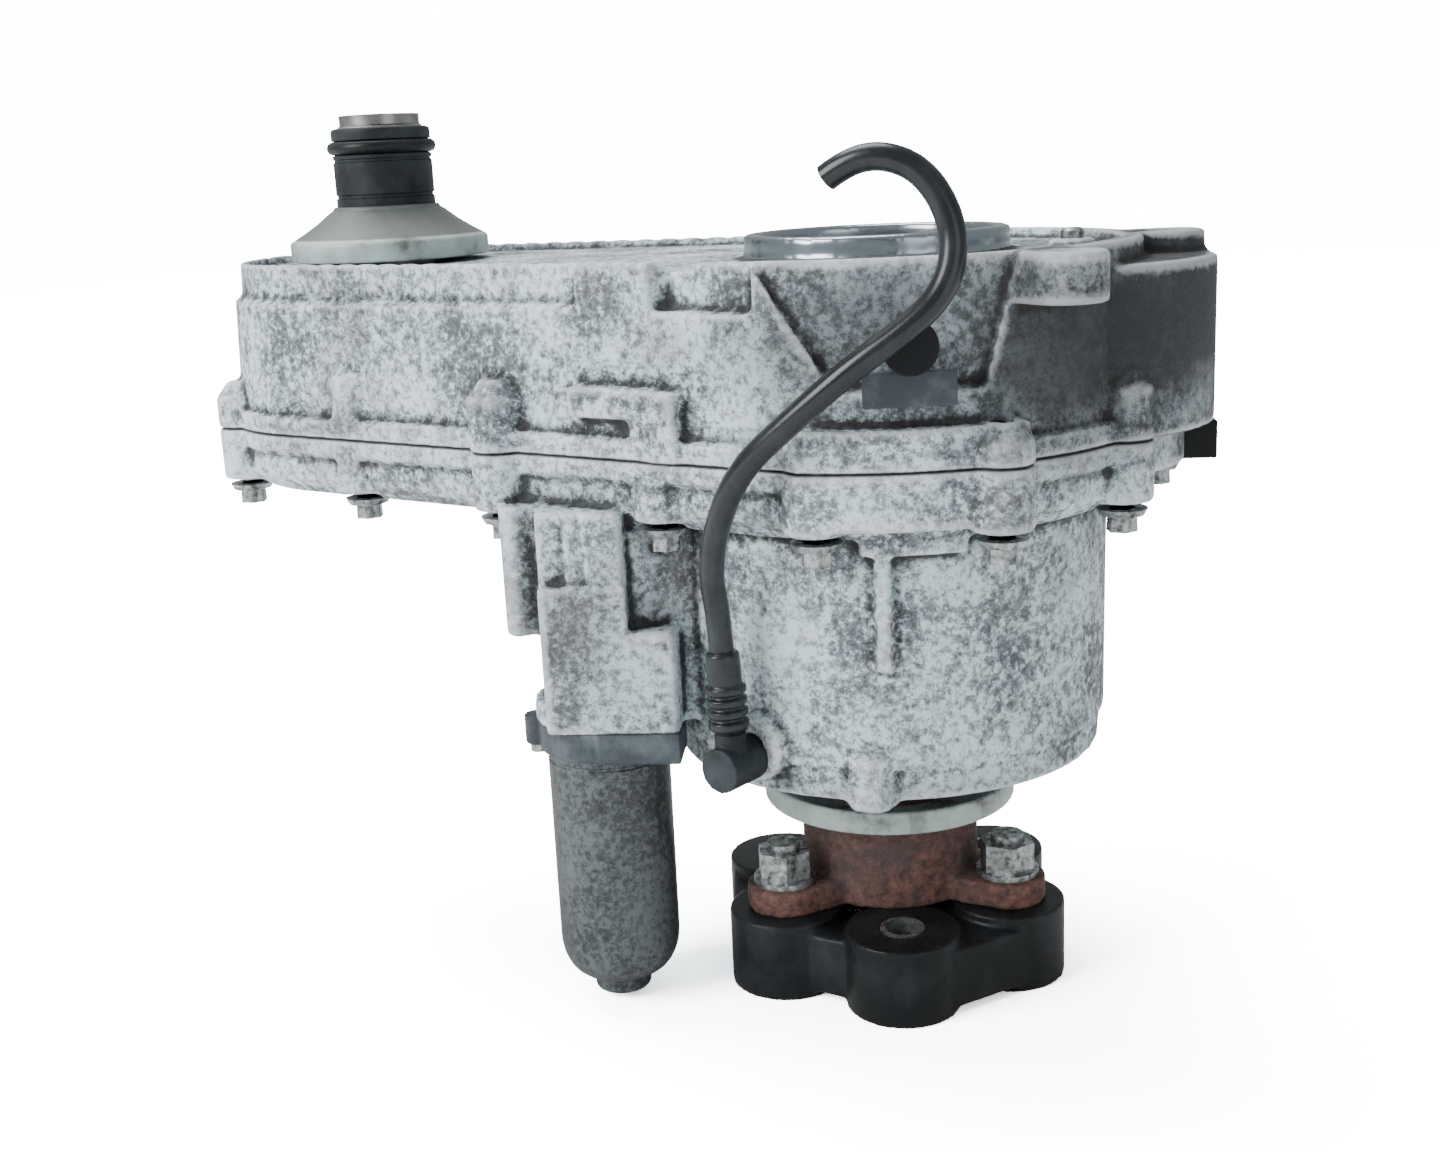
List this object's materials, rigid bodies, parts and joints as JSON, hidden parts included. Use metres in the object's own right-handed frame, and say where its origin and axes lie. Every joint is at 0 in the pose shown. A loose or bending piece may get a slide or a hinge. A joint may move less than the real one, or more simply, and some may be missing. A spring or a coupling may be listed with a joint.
{
  "type": "transfer case",
  "caption": "All-wheel-drive transfer case: split aluminium housing, clutch, gear train, servo motor, rear flange with flexible disc, and vent hose.",
  "frame": {"origin": "on the main shaft's axis, in the plane at the foot of the input spigot; the faces of the rim and ears that meet the gearbox are 3.7 mm above it", "axes": "+Z along the main shaft towards the gearbox, +X away from the front output, so the front output is on -X"},
  "size_m": [0.3969, 0.2273, 0.3256],
  "materials": {
    "cast_aluminium": "as cast, grimy",
    "zinc_steel": "zinc plated",
    "bearing_steel": "ground",
    "machined_steel": "machined, oiled",
    "friction_lining": "paper lining",
    "seal_rubber": "matt",
    "disc_rubber": "satin",
    "hose_rubber": "glossy",
    "black_plastic": "moulded",
    "motor_paint": "speckled grey",
    "rusty_iron": "rusty",
    "pale_zinc": "dull olive grey"
  },
  "bodies": {
    "case": {"case_front": "cast_aluminium", "case_rear": "cast_aluminium", "case_bolts": "zinc_steel", "locating_dowel": "zinc_steel", "oil_plugs": "zinc_steel", "bearing_outer_rings": "bearing_steel", "oil_seals": "seal_rubber", "idler_pin": "machined_steel", "actuator_support": "machined_steel", "motor_flange": "black_plastic", "motor_screws": "zinc_steel", "motor_connector": "black_plastic", "motor_can": "motor_paint", "motor_end_cap": "motor_paint", "motor_reducer": "machined_steel", "vent_elbow": "black_plastic", "hose_cuff": "hose_rubber", "vent_hose": "hose_rubber", "hose_bracket": "black_plastic", "hose_clip": "black_plastic", "side_block": "seal_rubber"},
    "main_shaft": {"main_shaft": "machined_steel", "main_bearing_inner_rings": "bearing_steel", "clutch_basket": "machined_steel", "steel_plates": "machined_steel", "rear_flange": "rusty_iron", "dust_ring": "pale_zinc", "flange_nut": "zinc_steel", "flex_disc": "disc_rubber", "disc_sleeves": "zinc_steel", "flange_bolts": "zinc_steel", "flange_nuts": "zinc_steel"},
    "drive_gear": {"drive_gear": "machined_steel", "clutch_hub": "machined_steel", "friction_plates": "friction_lining"},
    "idler_gear": {"idler_gear": "machined_steel"},
    "front_output": {"output_shaft": "machined_steel", "output_gear": "machined_steel", "output_bearing_inner_rings": "bearing_steel", "output_shield": "pale_zinc", "output_sleeve": "black_plastic", "sealing_ring": "seal_rubber"},
    "motor_rotor": {"motor_rotor": "machined_steel"},
    "actuator_pinion": {"actuator_pinion": "machined_steel"},
    "ramp_ring": {"ramp_ring": "machined_steel"},
    "ramp_balls": {"ramp_balls": "bearing_steel"},
    "pressure_plate": {"pressure_plate": "machined_steel"}
  },
  "joints": [
    {"name": "main_shaft_spin", "type": "hinge", "parent": "case", "child": "main_shaft", "pos_m": [0, 0, 0], "axis": [0, 0, 1], "continuous": true},
    {"name": "drive_gear_spin", "type": "hinge", "parent": "case", "child": "drive_gear", "pos_m": [0, 0, 0], "axis": [0, 0, 1], "continuous": true},
    {"name": "idler_spin", "type": "hinge", "parent": "case", "child": "idler_gear", "pos_m": [-0.1072, 0, 0], "axis": [0, 0, 1], "continuous": true},
    {"name": "front_output_spin", "type": "hinge", "parent": "case", "child": "front_output", "pos_m": [-0.2144, 0, 0], "axis": [0, 0, 1], "continuous": true},
    {"name": "clutch_press", "type": "slide", "parent": "case", "child": "pressure_plate", "axis": [0, 0, -1], "range_m": [0, 0.0012], "stiffness_N_per_m": 5000, "springref_m": -0.002},
    {"name": "ramp_turn", "type": "hinge", "parent": "case", "child": "ramp_ring", "pos_m": [0, 0, 0], "axis": [0, 0, 1], "range_deg": [-5.5, 0]},
    {"name": "ball_roll", "type": "hinge", "parent": "case", "child": "ramp_balls", "pos_m": [0, 0, 0], "axis": [0, 0, 1], "range_deg": [-2.75, 0]},
    {"name": "pinion_spin", "type": "hinge", "parent": "case", "child": "actuator_pinion", "pos_m": [-0.0796, -0.073, 0], "axis": [0, 0, 1], "range_deg": [0, 32.59]},
    {"name": "motor_spin", "type": "hinge", "parent": "case", "child": "motor_rotor", "pos_m": [-0.0796, -0.073, 0], "axis": [0, 0, 1], "range_deg": [0, 130.37]}
  ],
  "couplings": [
    {"joint": "idler_spin", "follows": "drive_gear_spin", "ratio": -1},
    {"joint": "front_output_spin", "follows": "drive_gear_spin", "ratio": 1},
    {"joint": "ramp_turn", "follows": "clutch_press", "rad_per_m": -77.085},
    {"joint": "ball_roll", "follows": "clutch_press", "rad_per_m": -38.543},
    {"joint": "pinion_spin", "follows": "clutch_press", "rad_per_m": 456.58},
    {"joint": "motor_spin", "follows": "clutch_press", "rad_per_m": 1826.3}
  ]
}
